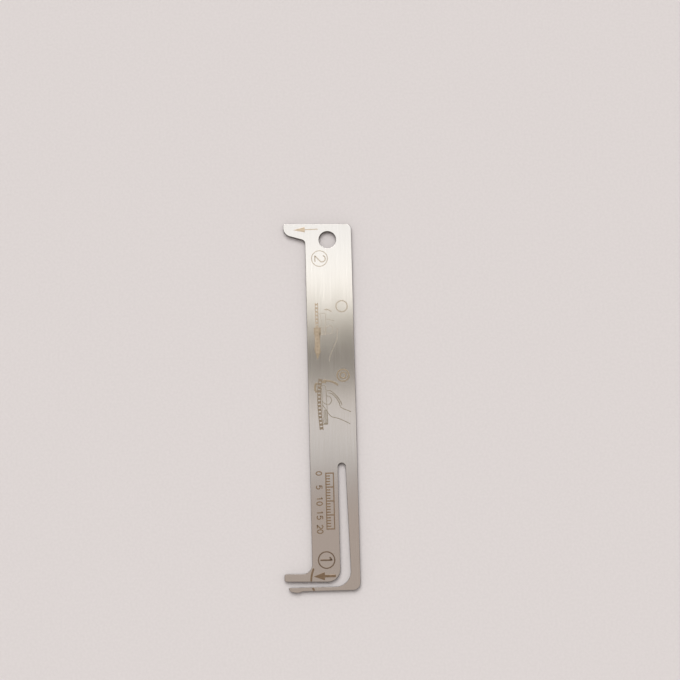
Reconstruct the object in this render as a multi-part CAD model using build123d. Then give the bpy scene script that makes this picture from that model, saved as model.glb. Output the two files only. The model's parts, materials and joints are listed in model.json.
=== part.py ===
from build123d import *

import os
from math import radians, tan

# Chain wear gauge for half-inch pitch roller chain, blanked in one piece from a flat sheet of steel.
#
# The tooth at the head hooks behind one roller. The rigid prong and the sprung arm beside it go
# together into one gap between two rollers, ten links away. The arm is the foot of an L that hangs on
# the narrow leg beside the tapered slot, so it gives way as it goes in: the slit closes, the nose
# presses on the lower roller, and the rigid prong is pushed against the upper one. Tooth and rigid
# prong then bear on the same side of their rollers, so the distance between them follows the links
# alone, however worn the rollers are. The tooth drops in only when the chain has stretched too far.
#
# The plate is drawn with X from the toothed edge (0) to the plain edge, and Y from the rigid prong's
# working face (0, where its roller bears) up to the tooth. It is then moved so that its origin is the
# middle of its box, on the underside. The marked face looks up.

# The chain that is measured
roller_pitch = 12.7
span_links = 10
wear_limit = 0.0075            # stretch at which the tooth drops in
roller_depth = 4.25            # how far outside the toothed edge the rollers bear

# The blank
sheet_thickness = 1.5
edge_break = 0.15              # rounding that tumbling leaves along every edge
body_width = 17.2
working_lean = 1.3             # degrees by which the working faces rise towards their tips
head_corner_radius = 1.9

# The tooth
tooth_reach = 8.0              # from the toothed edge to the tip
tooth_tip_depth = 4.05         # from the working face down to the chin, along the tip
tooth_tip_radius = 0.75
tooth_chin_radius = 3.3
tooth_root_depth = 6.25        # from the working face down to the root, along the toothed edge
tooth_root_radius = 1.6

# The hole that it hangs by
hole_diameter = 6.3
hole_inset = 8.28              # from the toothed edge
hole_drop = 5.98               # below the tooth's working face

# The rigid prong and the tongue that carries it
prong_reach = 10.05
prong_height = 2.8
prong_tip_radius = 0.8
prong_root_radius = 3.5
tongue_width = 10.1            # from the toothed edge to the slot
tongue_corner_radius = 4.5

# The slot that makes the narrow leg springy
slot_end_width = 2.7
slot_length = 42.47            # from its round end down to the corner of the tongue
slot_taper = 1.5               # degrees that its outer side leans out on the way down

# The sprung arm
slit = 1.85                    # gap between the rigid prong and the arm, at the toothed edge
arm_height = 1.43
arm_reach = 8.8
arm_tip_radius = 0.4
arm_inner_radius = 5.5
arm_outer_radius = 2.7

# The nose under the arm's tip: a slanting chin, a rounded toe and a heel that runs out into the arm
chin_depth = 1.5               # below the arm's upper face
chin_setback = 0.75            # behind the arm's tip
chin_radius = 1.1
toe_depth = 2.05
toe_setback = 3.5
toe_radius = 2.2
heel_setback = 5.2
heel_radius = 1.5

# Part of a side that the roundings at its two ends may take up together
side_share = 0.97

contact_span = span_links * roller_pitch * (1 + wear_limit)
working_slope = tan(radians(working_lean))
slot_slope = tan(radians(slot_taper))


def prong_face(x):
    """Y of the rigid prong's working face at x, which is zero where the roller bears."""
    return -working_slope * (x + roller_depth)


def tooth_face(x):
    """Y of the tooth's working face at x, one contact span above that of the prong."""
    return contact_span + prong_face(x)


def head_corners():
    """From the plain edge along the tooth's working face, round the tooth and back to its root."""
    tip = -tooth_reach
    return [
        (body_width, tooth_face(body_width), head_corner_radius),
        (tip, tooth_face(tip), tooth_tip_radius),
        (tip, tooth_face(tip) - tooth_tip_depth, tooth_chin_radius),
        (0, tooth_face(0) - tooth_root_depth, tooth_root_radius),
    ]


def prong_corners():
    """Round the rigid prong, and along its lower face to the corner of the tongue."""
    tip = -prong_reach
    return [
        (0, prong_face(0), prong_root_radius),
        (tip, prong_face(tip), prong_tip_radius),
        (tip, prong_face(tip) - prong_height, prong_tip_radius),
        (tongue_width, prong_face(tongue_width) - prong_height, tongue_corner_radius),
    ]


def slot_corners():
    """The full round at the closed end of the slot."""
    end = prong_face(tongue_width) - prong_height + slot_length
    end_radius = slot_end_width / 2
    return [
        (tongue_width, end, end_radius),
        (tongue_width + slot_end_width, end, end_radius),
    ]


def arm_corners():
    """From the slot's outer side along the arm's upper face, round the nose and back underneath."""
    upper = prong_face(0) - prong_height - slit
    lower = upper - arm_height
    slot_x, slot_y, _ = slot_corners()[-1]
    return [
        (slot_x + slot_slope * (slot_y - upper), upper, arm_inner_radius),
        (-arm_reach, upper, arm_tip_radius),
        (chin_setback - arm_reach, upper - chin_depth, chin_radius),
        (toe_setback - arm_reach, upper - toe_depth, toe_radius),
        (heel_setback - arm_reach, lower, heel_radius),
        (body_width, lower, arm_outer_radius),
    ]


def rounded_outline(corners):
    """Closed outline through (x, y, radius) corners.

    Where two roundings don't fit on the side between them, both get smaller until they do.
    """
    points = [Vector(x, y) for x, y, _ in corners]
    wanted = [radius for _, _, radius in corners]
    following = points[1:] + points[:1]
    sides = [end - start for start, end in zip(points, following)]
    turns = [sides[i - 1].get_angle(side) for i, side in enumerate(sides)]
    reaches = [radius * tan(radians(turn / 2)) for radius, turn in zip(wanted, turns)]
    reaches_ahead = reaches[1:] + reaches[:1]
    room = [
        side_share * side.length / (here + ahead)
        for side, here, ahead in zip(sides, reaches, reaches_ahead)
    ]
    radii = [radius * min(1, room[i - 1], room[i]) for i, radius in enumerate(wanted)]
    return FilletPolyline(*points, radius=radii, close=True)


def make_plate():
    """The blank with its hole, both faces' edges tumbled, and its origin under the box's middle."""
    outline = rounded_outline(head_corners() + prong_corners() + slot_corners() + arm_corners())
    hole = Pos(hole_inset, tooth_face(hole_inset) - hole_drop) * Circle(hole_diameter / 2)
    plate = extrude(make_face(outline) - hole, sheet_thickness)
    plate = fillet(plate.faces().filter_by(Axis.Z).edges(), edge_break)
    box = plate.bounding_box()
    return Pos(-box.center().X, -box.center().Y, -box.min.Z) * plate


os.makedirs("parts", exist_ok=True)
gauge_plate = make_plate()
export_step(gauge_plate, "parts/gauge_plate.step")
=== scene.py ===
"""A chain wear gauge of brushed stainless steel, lying flat on a pale table under soft studio light.

The plate itself comes from the frame. This script dresses it as brushed, blanked and tumbled
stainless, lays the laser marks on its upper face, and sets the table, the light and the camera.

Marks are drawn in the gauge's own millimetres: x runs from the toothed edge across the blade, and y
from the working face of the rigid prong up to the tooth.
"""

import json
import logging
from dataclasses import dataclass, field, fields
from enum import Enum

import bpy
import numpy as np
from mathutils import Matrix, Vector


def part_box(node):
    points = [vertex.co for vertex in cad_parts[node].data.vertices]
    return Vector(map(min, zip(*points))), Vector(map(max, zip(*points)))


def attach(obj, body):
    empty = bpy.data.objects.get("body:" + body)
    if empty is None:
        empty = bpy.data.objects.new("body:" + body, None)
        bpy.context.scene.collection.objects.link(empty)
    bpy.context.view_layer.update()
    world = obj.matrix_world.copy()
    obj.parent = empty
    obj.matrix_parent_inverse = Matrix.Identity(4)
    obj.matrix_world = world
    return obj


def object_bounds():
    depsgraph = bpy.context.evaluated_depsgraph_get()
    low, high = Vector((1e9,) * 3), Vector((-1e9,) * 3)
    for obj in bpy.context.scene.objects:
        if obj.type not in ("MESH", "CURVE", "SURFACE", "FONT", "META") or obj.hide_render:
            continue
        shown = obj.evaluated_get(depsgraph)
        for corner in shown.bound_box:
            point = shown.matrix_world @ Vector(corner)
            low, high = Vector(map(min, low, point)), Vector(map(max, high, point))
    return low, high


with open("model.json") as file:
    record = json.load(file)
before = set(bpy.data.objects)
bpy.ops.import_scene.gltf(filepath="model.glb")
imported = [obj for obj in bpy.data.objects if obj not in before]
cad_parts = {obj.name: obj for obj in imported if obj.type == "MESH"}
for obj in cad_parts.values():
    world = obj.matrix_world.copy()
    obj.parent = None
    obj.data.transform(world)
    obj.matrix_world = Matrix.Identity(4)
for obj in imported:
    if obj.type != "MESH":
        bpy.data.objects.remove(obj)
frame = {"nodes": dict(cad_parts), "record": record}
CAD_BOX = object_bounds()

MM = 0.001
PLATE = "gauge_plate"
BODY = "root"
ROLLER_DEPTH = 4.25  # mm from the middle of the prong's working face to the toothed edge
END_STEPS = 5  # points along each half of a stroke's round end
GRADIENT_RANGE = 2.0  # the brightest level that the room may have

Pair = tuple[float, float]
Pairs = tuple[Pair, ...]
Triple = tuple[float, float, float]
Tree = bpy.types.NodeTree
Socket = bpy.types.NodeSocket

log = logging.getLogger("chain_gauge")


def linear(hex_colour: str) -> tuple[float, float, float, float]:
    """Turns an sRGB hex colour into linear RGBA.

    A channel c becomes c / 12.92 up to 0.04045, and ((c + 0.055) / 1.055) to the power 2.4 above it.

    Args:
        hex_colour: Six hex digits after a hash sign.

    Returns:
        Linear red, green and blue, and an alpha of one.
    """
    srgb = np.array([int(hex_colour[i : i + 2], 16) for i in (1, 3, 5)]) / 255
    low = srgb / 12.92
    high = ((srgb + 0.055) / 1.055) ** 2.4
    return (*np.where(srgb <= 0.04045, low, high).tolist(), 1.0)


def add_node(
    tree: Tree, kind: str, inputs: dict[str, object] | tuple = (), output: str = "", **settings: object
) -> Socket | None:
    """Adds a node, sets its properties and fills its inputs.

    Only the sockets that the node's settings leave in use are counted.

    Args:
        tree: The node tree that gets it.
        kind: The node's type in Blender, after the word ShaderNode.
        inputs: What goes into each input by its name, or into the first ones in their own order.
            Another node's output is linked, and anything else becomes the input's own value.
        output: Name of the output that is wanted, or nothing for the first one.
        **settings: Properties of the node itself.

    Returns:
        That output, if the node has one. Its own node can be reached through it.
    """
    added = tree.nodes.new(f"ShaderNode{kind}")
    for name, value in settings.items():
        setattr(added, name, value)
    ready = [socket for socket in added.inputs if socket.enabled]
    if isinstance(inputs, dict):
        ready = [next(socket for socket in ready if socket.name == name) for name in inputs]
        inputs = tuple(inputs.values())
    for socket, value in zip(ready, inputs):
        if isinstance(value, Socket):
            tree.links.new(value, socket)
        else:
            socket.default_value = value
    outputs = [socket for socket in added.outputs if socket.enabled and output in ("", socket.name)]
    return outputs[0] if outputs else None


def add_object(name: str, data: bpy.types.ID) -> bpy.types.Object:
    """Puts a new object into the scene, at the origin.

    Args:
        name: The object's name.
        data: Its mesh, lamp or camera.

    Returns:
        The object.
    """
    added = bpy.data.objects.new(name, data)
    bpy.context.scene.collection.objects.link(added)
    return added


def grains(tree: Tree, place: Socket, size: Triple, turn: float = 0.0, detail: float = 2.0) -> Socket:
    """Noise whose grains have a size of their own in each direction.

    Args:
        tree: The material's node tree.
        place: The object coordinates.
        size: Grain size along X, Y and Z, in mm.
        turn: Angle of the grains about Z, in degrees.
        detail: How many finer layers are added.

    Returns:
        The noise, from 0 to 1.
    """
    turned = add_node(tree, "Mapping", {"Vector": place, "Rotation": (0.0, 0.0, float(np.radians(turn)))})
    scale = tuple(1 / (MM * side) for side in size)
    sized = add_node(tree, "Mapping", {"Vector": turned, "Scale": scale})
    return add_node(tree, "TexNoise", {"Vector": sized, "Scale": 1.0, "Detail": detail})


@dataclass(frozen=True)
class Finish:
    """How one kind of surface looks. Each finish has a title and its own Principled inputs."""

    def title(self) -> str:
        """What the real material is and how it was made."""
        raise NotImplementedError

    def inputs(self, tree: Tree, place: Socket) -> dict[str, object]:
        """What goes into the Principled node.

        Args:
            tree: The material's node tree.
            place: The object coordinates.

        Returns:
            A value or another node's output for each input, by the input's name.
        """
        raise NotImplementedError

    def material(self) -> bpy.types.Material:
        """Builds the material, or returns it if it has been built.

        Returns:
            The material.
        """
        name = self.title()
        if name in bpy.data.materials:
            return bpy.data.materials[name]
        material = bpy.data.materials.new(name)
        material.use_nodes = True
        tree = material.node_tree
        tree.nodes.clear()
        place = add_node(tree, "TexCoord", output="Object")
        surface = add_node(tree, "BsdfPrincipled", self.inputs(tree, place))
        add_node(tree, "OutputMaterial", {"Surface": surface})
        return material


@dataclass(frozen=True)
class BrushedStainless(Finish):
    """Cold-rolled stainless strip, belt-brushed along the blade, blanked on a press and tumbled.

    The brushing leaves long shallow lines, so the faces mirror the room sharply along the blade and
    smear it across. The press leaves a smooth sheared band on the walls, near the marked face, and a
    rough torn band below it, which is darker. Both wall colours are painted far darker than blanked
    steel is, as painted shade for the shadowed table that the walls mirror. Tumbling rounds the
    edges, which take the walls' darkened colour and catch the lamp as bright rims.
    """

    ridge_colour: str = "#cfcbc7"
    groove_colour: str = "#cdc9c4"
    scratch_colour: str = "#d6d3cf"
    # the two wall colours here are darkened as painted shade, for the shadowed table that the walls mirror
    sheared_colour: str = "#7c7773"
    torn_colour: str = "#4e4b47"
    face_roughness: float = 0.165
    roughness_spread: float = 0.038  # between the grooves and the ridges that the belt burnished
    sheared_roughness: float = 0.32
    torn_roughness: float = 0.50
    anisotropy: float = 1.0
    # rounded edges take the wall colours, and with them their painted shade
    face_levels: Pair = (0.955, 0.995)  # Z part of the normal, from a rounded edge to a face
    groove_size: Triple = (0.34, 26.0, 2.0)  # real lines are 0.06 mm, too fine to show
    groove_tilt: Pair = (0.016, 0.0008)  # slope that a groove adds across and along
    fine_size: Triple = (0.13, 8.0, 2.0)  # shows only from close by
    fine_turn: float = 0.6  # degrees off the blade's length
    fine_share: float = 0.35
    grain_levels: Pair = (0.33, 0.67)  # of the noise, from groove to ridge
    ripple_size: Triple = (9.0, 17.0, 5.0)  # unevenness left by the rolls
    ripple_tilt: Pair = (0.0012, 0.0030)
    scratch_size: Triple = (0.11, 9.0, 2.0)
    scratch_turn: float = 7.0
    scratch_levels: Pair = (0.735, 0.80)  # so high in the noise that scratches are few
    score_size: Triple = (0.16, 0.16, 3.0)  # lines that the die draws down the walls
    score_levels: Pair = (0.3, 0.7)
    sheared_share: float = 0.38  # of the wall's height
    border_waver: float = 0.3  # how far the border between the bands goes up and down, as a share
    border_blur: float = 0.06  # half the height over which one band turns into the other, as a share

    def title(self) -> str:
        """What the real material is and how it was made."""
        return "stainless_steel_brushed_and_blanked"

    def inputs(self, tree: Tree, place: Socket) -> dict[str, object]:
        """Dresses faces and walls, which are told apart by how upright their normal is.

        Args:
            tree: The material's node tree.
            place: The object coordinates.

        Returns:
            What goes into each input, by its name.
        """
        normal = add_node(tree, "TexCoord", output="Normal")
        height = add_node(tree, "SeparateXYZ", (normal,), "Z")
        upright = add_node(tree, "Math", (height,), operation="ABSOLUTE")
        on_face = add_node(tree, "MapRange", (upright, *self.face_levels), interpolation_type="SMOOTHSTEP")
        grooves = grains(tree, place, self.groove_size)
        fine = grains(tree, place, self.fine_size, turn=self.fine_turn)
        brushing = add_node(tree, "Mix", (self.fine_share, grooves, fine), data_type="FLOAT")
        grain = add_node(tree, "MapRange", (brushing, *self.grain_levels))
        face_colour, face_roughness = self.face(tree, place, grain)
        wall_colour, wall_roughness = self.wall(tree, place)
        return {
            "Base Color": add_node(tree, "Mix", (on_face, wall_colour, face_colour), data_type="RGBA"),
            "Roughness": add_node(tree, "Mix", (on_face, wall_roughness, face_roughness), data_type="FLOAT"),
            "Metallic": 1.0,
            "Anisotropic": self.anisotropy,
            "Normal": self.worked_normal(tree, place, normal, on_face, grooves),
            "Tangent": self.grain_tangent(tree, normal, upright),
        }

    def face(self, tree: Tree, place: Socket, grain: Socket) -> tuple[Socket, Socket]:
        """The two faces: ridges a little lighter and smoother than grooves, and a few pale scratches.

        Args:
            tree: The material's node tree.
            place: The object coordinates.
            grain: The brushed pattern, from 0 in a groove to 1 on a ridge.

        Returns:
            Colour and roughness.
        """
        shades = linear(self.groove_colour), linear(self.ridge_colour)
        brushed = add_node(tree, "Mix", (grain, *shades), data_type="RGBA")
        noise = grains(tree, place, self.scratch_size, turn=self.scratch_turn, detail=0.0)
        scratch = add_node(tree, "MapRange", (noise, *self.scratch_levels))
        colour = add_node(tree, "Mix", (scratch, brushed, linear(self.scratch_colour)), data_type="RGBA")
        half = self.roughness_spread / 2
        ends = self.face_roughness + half, self.face_roughness - half
        return colour, add_node(tree, "Mix", (grain, *ends), data_type="FLOAT")

    def wall(self, tree: Tree, place: Socket) -> tuple[Socket, Socket]:
        """The blanked walls: a sheared band above a torn one, with a wavering border between, both in painted
        shade.

        Args:
            tree: The material's node tree.
            place: The object coordinates.

        Returns:
            Colour and roughness.
        """
        top = CAD_BOX[1].z
        scores = grains(tree, place, self.score_size, detail=3.0)
        height = add_node(tree, "SeparateXYZ", (place,), "Z")
        wavering = add_node(tree, "Math", (scores, self.border_waver * top, height), operation="MULTIPLY_ADD")
        border = top * (1 - self.sheared_share + self.border_waver / 2)
        edges = border - self.border_blur * top, border + self.border_blur * top
        sheared = add_node(tree, "MapRange", (wavering, *edges), interpolation_type="SMOOTHSTEP")
        scored = add_node(tree, "MapRange", (scores, *self.score_levels))
        # both wall colours carry painted shade: darker than blanked steel, for the shadowed table mirrored
        light = linear(self.sheared_colour)
        torn = add_node(tree, "Mix", (scored, linear(self.torn_colour), light), data_type="RGBA")
        colour = add_node(tree, "Mix", (sheared, torn, light), data_type="RGBA")
        ends = self.torn_roughness, self.sheared_roughness
        return colour, add_node(tree, "Mix", (sheared, *ends), data_type="FLOAT")

    def worked_normal(
        self, tree: Tree, place: Socket, normal: Socket, on_face: Socket, grooves: Socket
    ) -> Socket:
        """Normal of the faces, leaned by the grooves and by the slow ripple that the rolls left.

        The lean is (2 noise - 1) times a slope in X and Y, added to the normal before it is brought
        back to unit length. Walls and rounded edges keep their own normal.

        Args:
            tree: The material's node tree.
            place: The object coordinates.
            normal: The object-space normal.
            on_face: One on the faces and zero on the walls.
            grooves: The noise that lays out the grooves.

        Returns:
            The normal.
        """
        ripple = grains(tree, place, self.ripple_size, detail=1.0)
        leans = []
        for noise, (across, along_blade) in ((grooves, self.groove_tilt), (ripple, self.ripple_tilt)):
            both_ways = noise.node.outputs["Color"]
            centred = add_node(tree, "VectorMath", (both_ways, (0.5, 0.5, 0.5)), operation="SUBTRACT")
            slope = (2 * across, 2 * along_blade, 0.0)
            leans.append(add_node(tree, "VectorMath", (centred, slope), operation="MULTIPLY"))
        lean = add_node(tree, "VectorMath", tuple(leans), operation="ADD")
        kept = add_node(tree, "VectorMath", (lean, on_face), operation="SCALE")
        leaned = add_node(tree, "VectorMath", (normal, kept), operation="ADD")
        return add_node(tree, "VectorMath", (leaned,), operation="NORMALIZE")

    def grain_tangent(self, tree: Tree, normal: Socket, upright: Socket) -> Socket:
        """Direction in which a highlight spreads: across the grooves, and along the walls.

        On a wall it is Z crossed with the normal, which runs along the wall, across the die's lines.
        On a face that product is nothing, and X is added in its place.

        Args:
            tree: The material's node tree.
            normal: The object-space normal.
            upright: The size of the normal's Z part.

        Returns:
            The tangent.
        """
        along_wall = add_node(tree, "VectorMath", ((0.0, 0.0, 1.0), normal), operation="CROSS_PRODUCT")
        across = add_node(tree, "VectorMath", ((1.0, 0.0, 0.0), upright), operation="SCALE")
        return add_node(tree, "VectorMath", (along_wall, across), operation="ADD")


class Burn(Enum):
    """How far a laser pass heated the steel, as the lighter and the darker colour of its oxide."""

    PALE = ("#aaa195", "#9e9588")
    STRAW = ("#a69885", "#998a79")
    OLIVE = ("#a99f91", "#9c9284")
    TAN = ("#988b79", "#897c6a")
    DRAB = ("#968e80", "#887f71")
    EARTH = ("#8f8272", "#7e7161")
    BROWN = ("#937f6b", "#7c6853")
    UMBER = ("#857466", "#6f5f50")


@dataclass(frozen=True)
class AnnealedMark(Finish):
    """Laser-annealed oxide on stainless: no relief to speak of, matt, pale straw to dark brown.

    The oxide scatters more than the brushed steel round it. So a mark is darker than the steel where
    the steel mirrors the lit ceiling, and a little lighter where the steel mirrors something dark.
    """

    burn: Burn
    roughness: float = 0.34
    roughness_spread: float = 0.08  # between the darker oxide and the lighter
    hatch_size: Triple = (6.0, 0.16, 2.0)  # real passes are 0.03 mm apart, too fine to show
    blotch_size: Triple = (1.6, 2.4, 2.0)
    blotch_share: float = 0.5
    pattern_levels: Pair = (0.35, 0.65)  # of the noise, from the darker colour to the lighter one

    def title(self) -> str:
        """What the real material is and how it was made."""
        return f"laser_annealed_oxide_{self.burn.name.lower()}"

    def inputs(self, tree: Tree, place: Socket) -> dict[str, object]:
        """Hatches the oxide along the laser's passes and blotches it.

        Args:
            tree: The material's node tree.
            place: The object coordinates.

        Returns:
            What goes into each input, by its name.
        """
        hatch = grains(tree, place, self.hatch_size)
        blotch = grains(tree, place, self.blotch_size)
        noise = add_node(tree, "Mix", (self.blotch_share, hatch, blotch), data_type="FLOAT")
        pattern = add_node(tree, "MapRange", (noise, *self.pattern_levels))
        light, dark = (linear(colour) for colour in self.burn.value)
        half = self.roughness_spread / 2
        ends = self.roughness + half, self.roughness - half
        return {
            "Base Color": add_node(tree, "Mix", (pattern, dark, light), data_type="RGBA"),
            "Roughness": add_node(tree, "Mix", (pattern, *ends), data_type="FLOAT"),
            "Metallic": 1.0,
        }


@dataclass(frozen=True)
class MattTabletop(Finish):
    """Matt laminate tabletop, off-white with a breath of pink, and no shine to mirror the gauge."""

    colour: str = "#d5d0d0"
    speck_colour: str = "#d2cdcd"
    roughness: float = 0.9
    speck_size: Triple = (0.9, 0.9, 0.9)
    speck_levels: Pair = (0.35, 0.65)

    def title(self) -> str:
        """What the real material is and how it was made."""
        return "laminate_matt_off_white"

    def inputs(self, tree: Tree, place: Socket) -> dict[str, object]:
        """Specks the laminate faintly and takes its shine away.

        Args:
            tree: The material's node tree.
            place: The object coordinates.

        Returns:
            What goes into each input, by its name.
        """
        speck = add_node(tree, "MapRange", (grains(tree, place, self.speck_size), *self.speck_levels))
        shades = linear(self.speck_colour), linear(self.colour)
        return {
            "Base Color": add_node(tree, "Mix", (speck, *shades), data_type="RGBA"),
            "Roughness": self.roughness,
            "Specular IOR Level": 0.0,
        }


def on_plate(points: np.ndarray) -> np.ndarray:
    """Turns points from the gauge's millimetres, with heights above the marked face, into metres.

    The gauge's zero is where its toothed edge meets the line of the prong's working face.

    Args:
        points: Array whose last axis is x, y and height.

    Returns:
        Array of the same shape in the frame's metres.
    """
    mounts = {mount["name"]: mount["pos_m"] for mount in frame["record"]["mounts"]}
    x, y, _ = mounts["prong_face"]
    return np.array([x + MM * ROLLER_DEPTH, y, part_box(PLATE)[1].z]) + MM * points


def route(corners: Pairs | np.ndarray, softness: float = 0.45, steps: int = 7) -> np.ndarray:
    """A line through corners, each of which is cut off by a parabola.

    The parabola starts the given share back along the side before the corner c, at a, and ends that
    share along the side after it, at b: (1 - t)^2 a + 2 t (1 - t) c + t^2 b, with t from 0 to 1.

    Args:
        corners: Points of the line, in mm.
        softness: Share of each side that a bend takes up, under a half.
        steps: Points along each bend.

    Returns:
        Array of points, n by 2.
    """
    points = np.array(corners, float)
    inner = points[1:-1]
    before = inner + softness * (points[:-2] - inner)
    after = inner + softness * (points[2:] - inner)
    t = np.linspace(0, 1, steps)[None, :, None]
    bends = (1 - t) ** 2 * before[:, None] + 2 * t * (1 - t) * inner[:, None] + t**2 * after[:, None]
    return np.concatenate([points[:1], bends.reshape(-1, 2), points[-1:]])


def arc(centre: Pair, radii: Pair, start: float, end: float, steps: int = 40) -> np.ndarray:
    """Points of an ellipse's arc: centre plus the radii times cosine and sine of an even angle.

    Args:
        centre: Its centre, in mm.
        radii: Its half width along x and along y.
        start: First angle, in degrees.
        end: Last angle.
        steps: Points along it.

    Returns:
        Array of points, n by 2.
    """
    angles = np.radians(np.linspace(start, end, steps))
    return np.array(centre) + np.stack([radii[0] * np.cos(angles), radii[1] * np.sin(angles)], axis=1)


def circle(centre: Pair, radius: float, steps: int = 72) -> np.ndarray:
    """Points of a full circle, with the first one not repeated at the end."""
    return arc(centre, (radius, radius), 0, 360 * (1 - 1 / steps), steps)


def run_of(path: np.ndarray) -> np.ndarray:
    """How far each point of a path lies from its start, along it."""
    return np.concatenate([[0], np.cumsum(np.hypot(*np.diff(path, axis=0).T))])


def along(path: np.ndarray, run: np.ndarray, stations: np.ndarray) -> np.ndarray:
    """Points between those of a path, where its run reaches the given stations."""
    return np.stack([np.interp(stations, run, path[:, i]) for i in (0, 1)], axis=-1)


def mitres(paths: np.ndarray, closed: bool) -> np.ndarray:
    """How far one unit to the left of each path lies from each of its points.

    Where sides with left-hand unit normals m and n meet, it is (m + n) / (1 + m . n), the mitre.

    Args:
        paths: Several paths with as many points each, as an array of paths, points and x, y.
        closed: Whether the paths run on from their last point to their first.

    Returns:
        Array of the same shape.
    """
    ahead = np.roll(paths, -1, axis=1) - paths
    if not closed:
        ahead[:, -1] = ahead[:, -2]
    ahead /= np.linalg.norm(ahead, axis=2, keepdims=True)
    normals = np.stack([-ahead[..., 1], ahead[..., 0]], axis=2)
    before = np.roll(normals, 1, axis=1)
    if not closed:
        before[:, 0] = normals[:, 0]
    return (normals + before) / (1 + (normals * before).sum(axis=2, keepdims=True))


def beside(path: np.ndarray, distance: float) -> np.ndarray:
    """The open path moved sideways by a distance in mm, to its left where that is positive."""
    return path + mitres(path[None], closed=False)[0] * distance


def pen_line(path: np.ndarray, width: float) -> tuple[np.ndarray, np.ndarray]:
    """Points and half widths of a line that ends in half circles.

    At a distance s from an end the half width is sqrt(r^2 - (r - s)^2), with r half the line's width.

    Args:
        path: Array of points, n by 2.
        width: The line's width, in mm.

    Returns:
        The path with more points near its ends, and the half width at each.
    """
    radius = width / 2
    run = run_of(path)
    near = radius * (1 - np.cos(np.radians(np.linspace(0, 90, END_STEPS + 1)[1:])))
    inner = run[(run > near[-1]) & (run < run[-1] - near[-1])]
    stations = np.unique(np.concatenate([near, inner, run[-1] - near]))
    to_end = np.minimum(np.minimum(stations, run[-1] - stations), radius)
    return along(path, run, stations), np.sqrt(radius**2 - (radius - to_end) ** 2)


def arrow_line(
    path: np.ndarray, head: Pair, shaft_width: float, barb: float = 0.03, tip: Pair = (0.02, 0.04)
) -> tuple[np.ndarray, np.ndarray]:
    """Points and half widths of an arrow that is drawn as one line, from its tip to its tail.

    The half width grows evenly over the head, drops to that of the shaft within the barb, and stays.

    Args:
        path: Array of points from tip to tail, n by 2, in mm.
        head: Length and width of the head.
        shaft_width: Width of the shaft.
        barb: How much of the line the drop takes.
        tip: How far from the path's start the line begins, and the width that the head has at it.

    Returns:
        The line's points and the half width at each.
    """
    run = run_of(path)
    length, width = head
    corners = np.array([tip[0], length, length + barb])
    stations = np.concatenate([corners, run[run > corners[-1] + barb]])
    half_widths = np.interp(stations, [0, *corners[1:]], np.array([tip[1], width, shaft_width]) / 2)
    return along(path, run, stations), half_widths


@dataclass
class Mark:
    """A piece made of laser strokes, each a thin closed film that is let into the face.

    A film's cross-section stands across the stroke: it starts under the face, comes up through it,
    rises a few microns over a short shoulder and goes down again on the other side.
    """

    name: str
    burn: Burn
    sunk: float = 0.02  # mm below the face
    proud: float = 0.012  # mm above the face
    step: float = 0.0015  # mm by which each stroke stands above the one before, where they cross
    shoulder: float = 0.9  # share of the half width at which the film reaches its full height
    shells: list[np.ndarray] = field(default_factory=list)
    faces: list[list[int]] = field(default_factory=list)
    count: int = 0

    def films(self, paths: np.ndarray, half_widths: np.ndarray | float, closed: bool = False) -> None:
        """Lays one film along each of several paths, all at one height.

        A vertex is the path's point plus the mitre there, times the half width and the section's
        own share of it. Quads join each section to the next, and flat caps close an open film.

        Args:
            paths: Array of paths, points and x, y, in mm.
            half_widths: Half width at each point, or one for all.
            closed: Whether the paths run on from their last point to their first.
        """
        top = self.proud + self.step * len(self.shells)
        left = [(-1, -self.sunk), (-1, 0), (-self.shoulder, top)]
        section = np.array(left + [(-across, height) for across, height in reversed(left)])
        widths = np.broadcast_to(half_widths, paths.shape[:2])[..., None, None]
        flat = paths[:, :, None] + mitres(paths, closed)[:, :, None] * widths * section[:, :1]
        heights = np.broadcast_to(section[:, 1], flat.shape[:3])[..., None]
        vertices = np.concatenate([flat, heights], axis=3)
        index = self.count + np.arange(heights.size).reshape(flat.shape[:3])
        here, there = (index, np.roll(index, -1, axis=1)) if closed else (index[:, :-1], index[:, 1:])
        quads = np.stack([here, there, np.roll(there, -1, axis=2), np.roll(here, -1, axis=2)], axis=-1)
        self.faces += quads.reshape(-1, 4).tolist()
        if not closed:
            self.faces += index[:, 0].tolist() + index[:, -1, ::-1].tolist()
        self.shells.append(vertices.reshape(-1, 3))
        self.count += heights.size

    def line(self, path: np.ndarray, width: float) -> None:
        """Lays a round-ended stroke of even width along one path, in mm."""
        points, half_widths = pen_line(path, width)
        self.films(points[None], half_widths[None])

    def arrow(self, path: np.ndarray, head: Pair, shaft_width: float) -> None:
        """Lays an arrow along a path that runs from its tip to its tail, in mm."""
        points, half_widths = arrow_line(path, head, shaft_width)
        self.films(points[None], half_widths[None])

    def loop(self, path: np.ndarray, width: float) -> None:
        """Lays a stroke of even width along a path that closes on itself, in mm."""
        self.films(path[None], width / 2, closed=True)

    def build(self) -> None:
        """Makes the piece from its films, dresses it and puts it on the plate."""
        mesh = bpy.data.meshes.new(self.name)
        mesh.from_pydata(on_plate(np.concatenate(self.shells)).tolist(), [], self.faces)
        mesh.materials.append(AnnealedMark(self.burn).material())
        piece = add_object(self.name, mesh)
        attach(piece, BODY)
        strokes = len(self.shells)
        log.info("%s: %d strokes, %d faces, %s", self.name, strokes, len(self.faces), self.burn.name)


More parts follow.
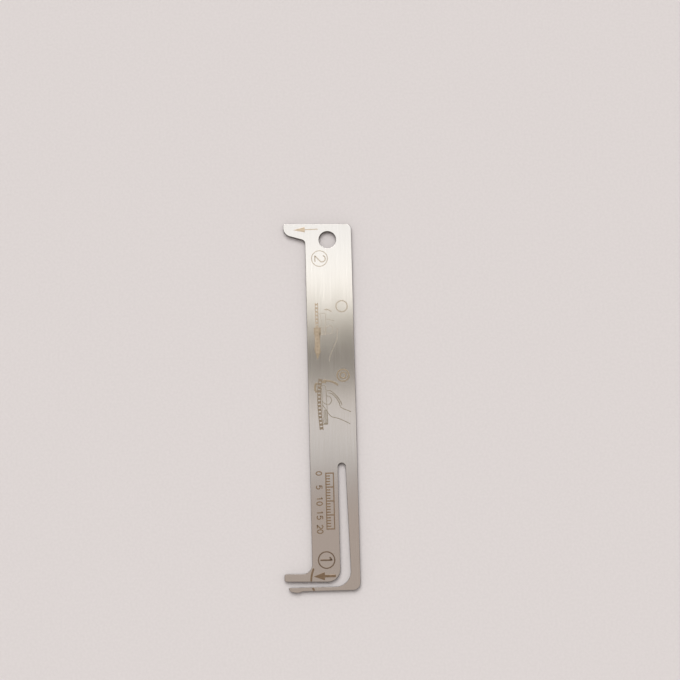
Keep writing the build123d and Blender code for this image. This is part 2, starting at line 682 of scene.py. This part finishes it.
def digit_strokes(digit: str) -> list[tuple[np.ndarray, bool]]:
    """The strokes of an engraver's digit in a box one unit high, from its lower left corner.

    Args:
        digit: One of 0, 1, 2 and 5.

    Returns:
        Each stroke's path and whether it is closed. A stroke's first axis runs in reading direction.
    """
    if digit == "0":
        return [(arc((0.31, 0.5), (0.31, 0.5), 0, 351), True)]
    if digit == "1":
        return [(route(((0.05, 0.83), (0.32, 1.0), (0.32, 0.0)), 0.05), False)]
    if digit == "2":
        bowl = arc((0.33, 0.68), (0.31, 0.32), 165, -28, 26)
        foot = route((tuple(bowl[-1]), (0.02, 0.0), (0.64, 0.0)), 0.06)
        return [(np.concatenate([bowl[:-1], foot]), False)]
    bowl = arc((0.29, 0.33), (0.32, 0.33), 118, -148, 30)
    head = route(((0.60, 1.0), (0.10, 1.0), (0.04, 0.55), tuple(bowl[0])), 0.10)
    return [(np.concatenate([head, bowl[1:]]), False)]


@dataclass(frozen=True)
class Lettering:
    """Plain numerals that read down the blade: up is towards the plain edge."""

    height: float
    pen: float
    advance: float = 0.86  # from one digit to the next, as a share of the height
    narrow: float = 0.62  # width of a digit as a share of its height

    def write(self, mark: Mark, text: str, baseline: float, middle: float) -> None:
        """Writes a number, centred along the blade.

        Args:
            mark: The piece that gets the strokes.
            text: Its digits.
            baseline: x of the feet of the digits, in mm.
            middle: y of the middle of the number.
        """
        length = self.height * (self.advance * (len(text) - 1) + self.narrow)
        for place, digit in enumerate(text):
            left = middle + length / 2 - place * self.advance * self.height
            for stroke, closed in digit_strokes(digit):
                across, down = self.height * stroke[:, 1], self.height * stroke[:, 0]
                path = np.stack([baseline + across, left - down], axis=1)
                if closed:
                    mark.loop(path, self.pen)
                else:
                    mark.line(path, self.pen)


@dataclass(frozen=True)
class StepNumber:
    """A ringed number that says in which order the ends go into the chain."""

    name: str
    burn: Burn
    digit: str
    middle: Pair
    radius: float = 2.92
    ring_width: float = 0.31
    digit_height: float = 3.85
    below: float = 0.44  # share of the digit's height that lies below the ring's middle
    pen: float = 0.40

    def build(self) -> None:
        """Draws the ring and its digit."""
        mark = Mark(self.name, self.burn)
        mark.loop(circle(self.middle, self.radius), self.ring_width)
        x, y = self.middle
        baseline = x - self.below * self.digit_height
        Lettering(self.digit_height, self.pen).write(mark, self.digit, baseline, y)
        mark.build()


@dataclass(frozen=True)
class EntryArrow:
    """An arrow with a long filled head that points the way an end goes into the chain."""

    name: str
    burn: Burn
    tip: Pair
    tail: Pair
    head: Pair  # its length and width
    shaft_width: float

    def build(self) -> None:
        """Draws the arrow."""
        mark = Mark(self.name, self.burn)
        mark.arrow(np.array([self.tip, self.tail]), self.head, self.shaft_width)
        mark.build()


@dataclass(frozen=True)
class DepthLines:
    """Short lines across the roots of the rigid prong and the sprung arm: how deep they go in."""

    width: float = 0.7
    softness: float = 0.4  # share of each side that a bend takes up
    across_prong: Pairs = ((0.5, 1.9), (-0.1, 0.2), (-0.4, -1.3), (-0.48, -2.75))
    across_arm: Pairs = ((-0.08, -4.9), (0.25, -5.45), (0.62, -6.03))

    def build(self) -> None:
        """Draws one line on each."""
        for name, corners in (("prong", self.across_prong), ("arm", self.across_arm)):
            mark = Mark(f"depth_line_{name}", Burn.BROWN)
            mark.line(route(corners, self.softness), self.width)
            mark.build()


@dataclass(frozen=True)
class VerdictRings:
    """The signs beside the two diagrams: one ring for a good chain, a double one for a worn chain."""

    good_middle: Pair = (12.93, 96.73)
    good_radius: float = 2.06
    good_width: float = 0.44
    worn_middle: Pair = (12.8, 71.2)
    worn_radii: Pair = (2.15, 1.1)
    worn_width: float = 0.56

    def build(self) -> None:
        """Draws the two signs."""
        good = Mark("sign_good_chain", Burn.OLIVE)
        good.loop(circle(self.good_middle, self.good_radius), self.good_width)
        good.build()
        worn = Mark("sign_worn_chain", Burn.TAN)
        for radius in self.worn_radii:
            worn.loop(circle(self.worn_middle, radius), self.worn_width)
        worn.build()


@dataclass(frozen=True)
class ChainStrip:
    """A run of roller chain seen from its side: rollers in a row between two thin lines."""

    corners: Pairs
    roller_length: float
    roller_width: float
    plate_width: float
    plate_offset: float  # from the middle of the strip to that of a line
    pitch: float = 1.35
    plate_gap: float = 0.1  # mm by which the lines end before the last corner
    bend_steps: int = 12
    plate_steps: int = 40

    def at(self, stations: np.ndarray) -> np.ndarray:
        """Points of the strip's middle line at these distances from its start, in mm."""
        path = route(self.corners, steps=self.bend_steps)
        return along(path, run_of(path), stations)

    def length(self) -> float:
        """Length of the middle line, from corner to corner."""
        return float(np.hypot(*np.diff(np.array(self.corners), axis=0).T).sum())

    def draw_rollers(self, mark: Mark) -> None:
        """Adds the rollers to a piece, each a short film along the strip's own direction there.

        Args:
            mark: The piece.
        """
        middles = np.arange(self.pitch / 2, self.length() - self.roller_length / 2, self.pitch)
        ends = middles[:, None] + self.roller_length / 2 * np.array([-1, 1])
        mark.films(self.at(ends), self.roller_width / 2)

    def draw_plates(self, mark: Mark) -> None:
        """Adds the two lines that stand for the link plates.

        Args:
            mark: The piece that gets them.
        """
        line = self.at(np.linspace(0, self.length() - self.plate_gap, self.plate_steps))
        for side in (-1, 1):
            mark.line(beside(line, side * self.plate_offset), self.plate_width)


@dataclass(frozen=True)
class GaugeSketch:
    """A small outline of the gauge itself, laid along the chain, with its lower part hatched."""

    foot: Pair
    lean: float  # degrees by which it leans away from the chain
    width: float
    length: float = 14.1
    tooth: float = 0.5  # how far the tooth stands out
    tooth_heights: Pair = (0.45, 0.8)  # from the top down to its tip's lower corner and to its root
    prong: float = 0.6  # how far the prong stands out
    prong_height: float = 0.62
    softness: float = 0.14  # share of each side that a bend takes up
    bend_steps: int = 4
    pen: float = 0.24
    hatched: Pair = (0.3, 5.3)  # mm from its foot
    hatch_across: Pair = (0.36, 0.92)  # shares of its width
    hatch_lines: int = 3
    hatch_width: float = 0.30
    foot_width: float = 0.55

    def turn(self, points: list[Pair]) -> np.ndarray:
        """Turns points about the sketch's foot by its lean and moves them there."""
        cosine, sine = np.cos(np.radians(-self.lean)), np.sin(np.radians(-self.lean))
        return np.array(self.foot) + np.array(points, float) @ np.array([[cosine, sine], [-sine, cosine]])

    def draw(self, mark: Mark) -> None:
        """Adds the outline and the hatching to a piece.

        Args:
            mark: The piece that gets them.
        """
        top, plain, tooth, prong = self.length, self.width, -self.tooth, -self.prong
        chin, root = (top - height for height in self.tooth_heights)
        corners = [
            (plain / 2, 0.0), (plain, 0.0), (plain, top), (tooth, top), (tooth, chin), (0.0, root),
            (0.0, self.prong_height), (prong, self.prong_height), (prong, 0.0), (plain / 2, 0.0),
        ]
        mark.line(route(self.turn(corners), self.softness, self.bend_steps), self.pen)
        low, high = self.hatched
        across = np.linspace(*self.hatch_across, self.hatch_lines) * plain
        lines = np.array([self.turn([(x, low), (x, high)]) for x in across])
        mark.films(lines, self.hatch_width / 2)
        mark.line(self.turn([(0.0, low), (plain, low)]), self.foot_width)


@dataclass(frozen=True)
class BroadArrow:
    """A filled arrow with a stepped collar, under the end of the chain, that says which way it runs."""

    spine: Pairs = (
        (3.78, 89.0), (3.8, 86.2), (3.78, 86.1), (3.75, 81.0), (3.68, 80.95), (3.6, 77.1)
    )
    widths: tuple[float, ...] = (2.5, 2.5, 1.95, 1.95, 2.6, 0.05)
    edge_lines: tuple[Pairs, ...] = (
        ((3.0, 85.4), (2.98, 83.5), (3.0, 81.2)), ((4.52, 84.6), (4.48, 83.0), (4.5, 81.0))
    )
    edge_width: float = 0.26

    def draw(self, mark: Mark) -> None:
        """Adds the arrow to a piece."""
        mark.films(np.array([self.spine]), np.array([self.widths]) / 2)

    def draw_edges(self, mark: Mark) -> None:
        """Adds the darker lines inside its long sides to a piece."""
        for line in self.edge_lines:
            mark.line(route(line), self.edge_width)


@dataclass(frozen=True)
class CheckDiagram:
    """How to read the gauge: it is laid on the chain and swung in, with a hand that holds it.

    The chain and the hand stand a few microns higher than the rest, so they show where they cross it.
    """

    name: str
    swing_burn: Burn
    chain_burn: Burn
    line_burn: Burn
    hand_burn: Burn
    chain: ChainStrip
    gauge: GaugeSketch
    swing: Pairs
    swing_head: Pair
    swing_width: float
    hand: tuple[Pairs, ...]
    hand_width: float
    broad_arrow: BroadArrow | None = None
    broad_burn: Burn = Burn.TAN
    hook: Pairs = ()
    hook_width: float = 0.8
    shade: Pairs = ()
    shade_step: float = 0.48
    shade_reach: float = 0.34
    shade_width: float = 0.15
    chain_proud: float = 0.018  # mm above the face
    hand_proud: float = 0.024

    def build(self) -> None:
        """Draws the parts of the diagram, each as a piece with a burn of its own."""
        if self.broad_arrow:
            direction = Mark(f"direction_{self.name}", self.broad_burn)
            self.broad_arrow.draw(direction)
            direction.build()
        swing = Mark(f"swing_{self.name}", self.swing_burn)
        swing.arrow(route(self.swing), self.swing_head, self.swing_width)
        if self.hook:
            swing.line(route(self.hook), self.hook_width)
        swing.build()
        chain = Mark(f"chain_{self.name}", self.chain_burn, proud=self.chain_proud)
        self.chain.draw_plates(chain)
        self.chain.draw_rollers(chain)
        if self.broad_arrow:
            self.broad_arrow.draw_edges(chain)
        chain.build()
        sketch = Mark(f"sketch_{self.name}", self.line_burn)
        self.gauge.draw(sketch)
        sketch.build()
        hand = Mark(f"hand_{self.name}", self.hand_burn, proud=self.hand_proud)
        for line in self.hand:
            hand.line(route(line), self.hand_width)
        if self.shade:
            self.draw_shade(hand)
        hand.build()

    def draw_shade(self, mark: Mark) -> None:
        """Adds short strokes side by side along the back of the hand.

        A stroke crosses the line at a station s, from its right at s - step / 2 to its left at
        s + step / 2, so all of them slant the same way.

        Args:
            mark: The piece that gets them.
        """
        line = route(self.shade)
        run = run_of(line)
        sides = [beside(line, side * self.shade_reach) for side in (-1, 1)]
        stations = np.arange(self.shade_step, run[-1] - self.shade_step, self.shade_step)
        shifts = (-self.shade_step / 2, self.shade_step / 2)
        ends = [along(side, run, stations + shift) for side, shift in zip(sides, shifts)]
        mark.films(np.stack(ends, axis=1), self.shade_width / 2)


@dataclass(frozen=True)
class MillimetreScale:
    """A plain rule on the tongue: two rails, a tick each millimetre and a number each fifth."""

    zero: float = 35.75  # y of its start
    length: int = 20
    rails: Pair = (5.62, 8.38)
    rail_width: float = 0.40
    tick_width: float = 0.46
    tick_reach: float = 1.30
    fifth_reach: float = 2.40
    number_step: int = 5
    number_base: float = 2.15
    number_height: float = 2.0
    number_pen: float = 0.40

    def build(self) -> None:
        """Draws the rule and its numbers."""
        rule = Mark("millimetre_rule", Burn.BROWN)
        half = self.tick_width / 2
        start, end = self.zero + half, self.zero - self.length - half
        rule.films(np.array([[(x, start), (x, end)] for x in self.rails]), self.rail_width / 2)
        stations = np.arange(self.length + 1)
        foot = self.rails[0] + self.rail_width / 2
        reach = np.where(stations % self.number_step == 0, self.fifth_reach, self.tick_reach)
        y = self.zero - stations
        ticks = np.stack([np.stack([foot + far, y], axis=1) for far in (0 * y, reach)], axis=1)
        rule.films(ticks, half)
        rule.build()
        numbers = Mark("millimetre_numbers", Burn.BROWN)
        lettering = Lettering(self.number_height, self.number_pen)
        for value in stations[:: self.number_step].tolist():
            lettering.write(numbers, str(value), self.number_base, self.zero - value)
        numbers.build()


@dataclass(frozen=True)
class Glow:
    """One stop of the light that comes down from the ceiling."""

    tilt: float  # degrees from straight overhead, towards the tooth
    level: float
    tint: str

    def radiance(self) -> np.ndarray:
        """Its linear red, green and blue."""
        return self.level * np.array(linear(self.tint)[:3])


def gradient(tree: Tree, value: Socket, places: np.ndarray, colours: np.ndarray) -> Socket:
    """A smooth run of colours, divided by GRADIENT_RANGE so that none of them is above one.

    Args:
        tree: The node tree.
        value: What the colour follows.
        places: The values at which each colour stands, in rising order.
        colours: Linear red, green and blue at each place, as an array of three columns.

    Returns:
        The colour.
    """
    share = add_node(tree, "MapRange", (value, float(places[0]), float(places[-1])))
    run = add_node(tree, "ValToRGB", (share,))
    ramp = run.node.color_ramp
    ramp.interpolation = "CARDINAL"
    while len(ramp.elements) < len(places):
        ramp.elements.new(1.0)
    stops = np.interp(places, places[[0, -1]], [0, 1])
    for element, position, colour in zip(ramp.elements, stops, colours / GRADIENT_RANGE):
        element.position = float(position)
        element.color = (*colour.tolist(), 1.0)
    return run


@dataclass(frozen=True)
class Studio:
    """A soft room and one broad, far lamp.

    The blade is a mirror along its length, so what it shows is the ceiling: a bright panel beyond
    the tooth, a dim gap, a faint panel, and the plain warm ceiling over the prongs. The walls and
    the rounded edges show the room round it, with a band of windows under a dim upper part.
    """

    room: Pairs = (
        (0.0, 0.75), (0.05, 1.00), (0.20, 1.08), (0.36, 0.74), (0.52, 0.45), (0.75, 0.35)
    )  # sine of a ray's height, and the level there
    room_tint: str = "#f7f5f3"
    inner_tilt: float = 44.0  # degrees from overhead up to which the ceiling's bands are plain to see
    outer_tilt: float = 62.0  # degrees from overhead at which only the room is left
    waver: float = 1.4  # how much the windows' height differs round the room, as a factor
    waver_scale: float = 1.7  # of the noise that lays out those differences
    lamp_tilt: float = 39.0
    lamp_heading: float = 8.0  # degrees to the left of the tooth's direction
    lamp_breadth: float = 42.0  # degrees across, as seen from the gauge
    lamp_strength: float = 1.88
    lamp_tint: str = "#fffefc"
    ceiling: tuple[Glow, ...] = (
        Glow(-46.0, 0.50, "#fff8f4"),
        Glow(-28.0, 0.36, "#fff4ee"),
        Glow(-14.0, 0.40, "#fff0e6"),
        Glow(-6.0, 0.56, "#fff0e5"),
        Glow(-2.0, 0.61, "#ffefe5"),
        Glow(0.0, 0.60, "#ffefe5"),
        Glow(1.0, 0.60, "#fff5f1"),
        Glow(2.2, 0.84, "#fffdfb"),
        Glow(3.4, 1.00, "#fffafa"),
        Glow(4.4, 0.95, "#fff8f3"),
        Glow(5.4, 0.54, "#fff8ed"),
        Glow(6.3, 0.20, "#fff4e8"),
        Glow(7.2, 0.46, "#fff7ea"),
        Glow(8.1, 0.80, "#fff8ea"),
        Glow(9.0, 1.63, "#fffdf8"),
        Glow(12.0, 1.44, "#fdfeff"),
        Glow(20.0, 1.16, "#fffefe"),
        Glow(30.0, 0.62, "#fffefd"),
        Glow(45.0, 0.44, "#fffefd"),
        Glow(62.0, 0.38, "#fffefd"),
    )

    def build(self) -> None:
        """Sets the world and the lamp."""
        self.light_room()
        self.hang_lamp()
        log.info("studio: %d ceiling stops, lamp of strength %.2f", len(self.ceiling), self.lamp_strength)

    def light_room(self) -> None:
        """Makes the world: bands across the ceiling, and a plain room with windows lower down.

        A ray's Y, the sine of its tilt, picks the band. Its Z, the sine of its height, is multiplied
        by waver * noise + 1 - waver / 2, which is one at the noise's middle, and picks the room's
        level. Z alone says how far from overhead the ray is, and so how much of the band is taken.
        """
        world = bpy.data.worlds.new("soft_room")
        bpy.context.scene.world = world
        world.use_nodes = True
        tree = world.node_tree
        tree.nodes.clear()
        ray = add_node(tree, "TexCoord", output="Generated")
        height = add_node(tree, "SeparateXYZ", (ray,), "Z")
        sines = np.sin(np.radians([glow.tilt for glow in self.ceiling]))
        radiances = np.array([glow.radiance() for glow in self.ceiling])
        bands = gradient(tree, height.node.outputs["Y"], sines, radiances)
        edges = np.cos(np.radians([self.outer_tilt, self.inner_tilt])).tolist()
        overhead = add_node(tree, "MapRange", (height, *edges), interpolation_type="SMOOTHSTEP")
        noise = add_node(tree, "TexNoise", {"Vector": ray, "Scale": self.waver_scale, "Detail": 0.0})
        uneven = add_node(tree, "Math", (noise, self.waver, 1 - self.waver / 2), operation="MULTIPLY_ADD")
        level_at = add_node(tree, "Math", (uneven, height), operation="MULTIPLY")
        heights, levels = np.array(self.room).T
        tint = np.array(linear(self.room_tint)[:3])
        room = gradient(tree, level_at, heights, levels[:, None] * tint)
        colour = add_node(tree, "Mix", (overhead, room, bands), data_type="RGBA")
        light = add_node(tree, "Background", {"Color": colour, "Strength": GRADIENT_RANGE})
        add_node(tree, "OutputWorld", {"Surface": light})

    def hang_lamp(self) -> None:
        """Hangs a broad soft lamp far beyond the tooth, a little to the left, and aims it at the gauge."""
        data = bpy.data.lights.new("soft_lamp", "SUN")
        data.angle = float(np.radians(self.lamp_breadth))
        data.energy = self.lamp_strength
        data.color = linear(self.lamp_tint)[:3]
        lamp = add_object("soft_lamp", data)
        turn = Matrix.Rotation(np.radians(self.lamp_heading), 4, "Z")
        tilt = Matrix.Rotation(np.radians(-self.lamp_tilt), 4, "X")
        lamp.matrix_world = turn @ tilt


@dataclass(frozen=True)
class Table:
    """The plain tabletop that the gauge lies on."""

    half_side: float = 20.0
    squares: int = 12  # along each side
    drop: float = 0.00002  # metres below the plate, so that the two don't share a surface

    def build(self) -> None:
        """Makes the tabletop as a grid of large squares."""
        side = np.linspace(-self.half_side, self.half_side, self.squares + 1)
        x, y = np.meshgrid(side, side)
        vertices = np.stack([x.ravel(), y.ravel(), np.full(x.size, -self.drop)], axis=1)
        index = np.arange(x.size).reshape(x.shape)
        quads = np.stack([index[:-1, :-1], index[:-1, 1:], index[1:, 1:], index[1:, :-1]], axis=-1)
        mesh = bpy.data.meshes.new("tabletop")
        mesh.from_pydata(vertices.tolist(), [], quads.reshape(-1, 4).tolist())
        mesh.materials.append(MattTabletop().material())
        tabletop = add_object("tabletop", mesh)
        log.info("tabletop: %.1f m square", 2 * self.half_side)


@dataclass(frozen=True)
class Viewpoint:
    """A 70 mm lens half a metre above the gauge, looking almost straight down."""

    place: Triple = (0.008455, -0.036381, 0.48228)
    tilt: float = 7.105  # degrees towards the tooth
    roll: float = -1.4704  # degrees about the line of sight
    lens: float = 70.0
    sensor: float = 36.0
    clip: Pair = (0.02, 60.0)  # metres

    def build(self) -> None:
        """Makes the camera and gives it to the scene."""
        data = bpy.data.cameras.new("camera")
        data.lens = self.lens
        data.sensor_width = self.sensor
        data.clip_start, data.clip_end = self.clip
        camera = add_object("camera", data)
        tilt = Matrix.Rotation(np.radians(self.tilt), 4, "X")
        roll = Matrix.Rotation(np.radians(self.roll), 4, "Z")
        camera.matrix_world = Matrix.Translation(self.place) @ tilt @ roll
        bpy.context.scene.camera = camera
        log.info("camera: %.0f mm lens, %.3f m up", self.lens, self.place[2])


@dataclass(frozen=True)
class Plate:
    """The gauge's blank, as the frame has it."""

    finish: BrushedStainless = BrushedStainless()

    def dress(self) -> None:
        """Puts the brushed finish in each of the plate's material slots."""
        steel = self.finish.material()
        for slot in frame["nodes"][PLATE].material_slots:
            slot.material = steel
        log.info("%s: dressed in %s", PLATE, steel.name)


@dataclass(frozen=True)
class LaserMarks:
    """Everything that the laser drew on the upper face, from the tooth down to the prongs."""

    head_arrow: EntryArrow = EntryArrow(
        "arrow_tooth_end", Burn.STRAW, (-4.3, 125.62), (4.82, 125.77), head=(4.3, 2.0), shaft_width=0.33
    )
    second_step: StepNumber = StepNumber("step_number_2", Burn.OLIVE, "2", (5.2, 114.7))
    rings: VerdictRings = VerdictRings()
    good_chain: CheckDiagram = CheckDiagram(
        name="good_chain",
        swing_burn=Burn.OLIVE,
        chain_burn=Burn.STRAW,
        line_burn=Burn.PALE,
        hand_burn=Burn.PALE,
        chain=ChainStrip(
            ((3.7, 98.2), (3.68, 90.0), (3.75, 85.0), (3.75, 79.4)),
            roller_length=0.62,
            roller_width=0.84,
            plate_width=0.25,
            plate_offset=0.43,
        ),
        gauge=GaugeSketch(
            (5.2, 86.3), lean=0.3, width=1.7, length=8.0, pen=0.2,
            hatched=(0.3, 3.2), hatch_width=0.2, foot_width=0.2,
        ),
        swing=((6.35, 95.5), (7.8, 95.7), (9.2, 94.8)),
        swing_head=(1.1, 0.8),
        swing_width=0.42,
        hand=(
            ((7.2, 92.0), (8.6, 91.9), (9.9, 91.3)),
            (
                (11.1, 88.8), (11.12, 86.4), (10.9, 84.3), (10.1, 82.6),
                (9.0, 80.4), (8.35, 78.5), (7.75, 76.4),
            ),
            ((7.0, 88.8), (8.5, 90.0), (9.6, 88.8), (9.2, 86.3), (7.1, 87.0)),
        ),
        hand_width=0.22,
        broad_arrow=BroadArrow(),
    )
    worn_chain: CheckDiagram = CheckDiagram(
        name="worn_chain",
        swing_burn=Burn.TAN,
        chain_burn=Burn.EARTH,
        line_burn=Burn.DRAB,
        hand_burn=Burn.DRAB,
        chain=ChainStrip(
            ((4.6, 70.2), (3.95, 66.5), (3.88, 62.5), (4.0, 58.0), (4.55, 51.3)),
            roller_length=0.86,
            roller_width=0.9,
            plate_width=0.28,
            plate_offset=0.56,
        ),
        gauge=GaugeSketch((5.3, 53.4), lean=-2.0, width=1.6),
        swing=((4.6, 68.6), (6.3, 69.4), (8.7, 69.1), (10.9, 67.7)),
        swing_head=(1.9, 1.7),
        swing_width=0.7,
        hand=(
            ((6.7, 65.6), (8.0, 65.8), (9.4, 64.7), (10.6, 63.4), (11.9, 61.4), (12.15, 60.2)),
            ((7.2, 64.9), (8.6, 64.6), (10.0, 63.2), (11.1, 61.3), (11.6, 59.5), (13.0, 58.8), (15.4, 57.8)),
            ((4.9, 60.6), (5.9, 59.5), (6.9, 57.7), (8.1, 56.1), (9.9, 55.8), (12.4, 54.8), (15.0, 53.4)),
            ((6.5, 63.9), (8.0, 63.5), (8.5, 62.2), (7.9, 60.8), (6.6, 60.5), (4.9, 61.8)),
        ),
        hand_width=0.28,
        shade=((8.6, 65.1), (10.2, 63.6), (11.4, 61.7), (11.8, 60.2)),
        hook=((3.5, 68.5), (2.7, 68.2), (2.45, 66.9), (2.65, 65.7), (3.2, 65.2)),
    )
    scale: MillimetreScale = MillimetreScale()
    first_step: StepNumber = StepNumber(
        "step_number_1",
        Burn.UMBER,
        "1",
        (5.2, 4.75),
        ring_width=0.47,
        digit_height=4.15,
        below=0.55,
        pen=0.62,
    )
    depth_lines: DepthLines = DepthLines()
    prong_arrow: EntryArrow = EntryArrow(
        "arrow_prong_end", Burn.BROWN, (0.5, -1.0), (8.4, -0.95), head=(3.95, 2.9), shaft_width=0.9
    )

    def build(self) -> None:
        """Draws every mark, in the order in which they stand above."""
        for mark in fields(self):
            getattr(self, mark.name).build()


def main() -> None:
    """Builds the view, the studio and the table, then dresses and marks the plate."""
    bpy.context.scene.view_settings.view_transform = "Standard"
    Viewpoint().build()
    Studio().build()
    Table().build()
    Plate().dress()
    LaserMarks().build()


if __name__ == "__main__":
    logging.basicConfig(level=logging.INFO, format="%(message)s")
    main()
